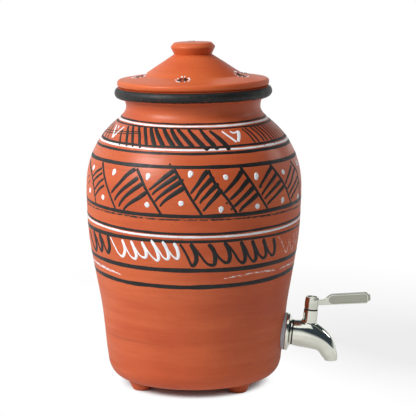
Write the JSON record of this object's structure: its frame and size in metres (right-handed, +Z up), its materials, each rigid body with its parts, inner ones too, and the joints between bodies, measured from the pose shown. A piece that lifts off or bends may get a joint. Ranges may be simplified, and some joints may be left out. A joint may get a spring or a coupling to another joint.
{
  "type": "clay water jar with tap",
  "caption": "Tall terracotta water jar with painted bands, lift-off knobbed lid, pressed feet and a steel quarter-turn lever tap near its base.",
  "frame": {"origin": "on the jar's axis at floor level, under its feet", "axes": "+Z up along the jar's axis, +X towards the tap, +Y to the left of the tap seen from the jar"},
  "size_m": [0.2613, 0.197, 0.316],
  "materials": {
    "terracotta": "matte fired clay",
    "steel": "polished",
    "silicone": "matte",
    "seal": "matte",
    "seat_plastic": "smooth"
  },
  "bodies": {
    "jar": {"jar_body": "terracotta", "foot_front_left": "terracotta", "foot_front_right": "terracotta", "foot_rear_left": "terracotta", "foot_rear_right": "terracotta", "outer_gasket": "silicone", "tap_tailpiece": "steel", "body_seal": "seal", "tap_body": "steel", "rear_seat": "seat_plastic", "front_seat": "seat_plastic", "stem_washer": "seal", "inner_gasket": "silicone", "inner_washer": "steel", "lock_nut": "steel"},
    "lid": {"lid": "terracotta", "lid_knob": "terracotta"},
    "tap_lever": {"lever": "steel", "lever_screw": "steel", "valve_stem": "steel", "valve_ball": "steel", "stem_o_ring_low": "seal", "stem_o_ring_high": "seal"}
  },
  "joints": [
    {"name": "lid_lift", "type": "slide", "parent": "jar", "child": "lid", "axis": [0, 0, 1], "range_m": [0, 0.06]},
    {"name": "tap_lever_turn", "type": "hinge", "parent": "jar", "child": "tap_lever", "pos_m": [0.10541, 0, 0.04523], "axis": [0.1084, 0, 0.9941], "range_deg": [0, 90]}
  ]
}
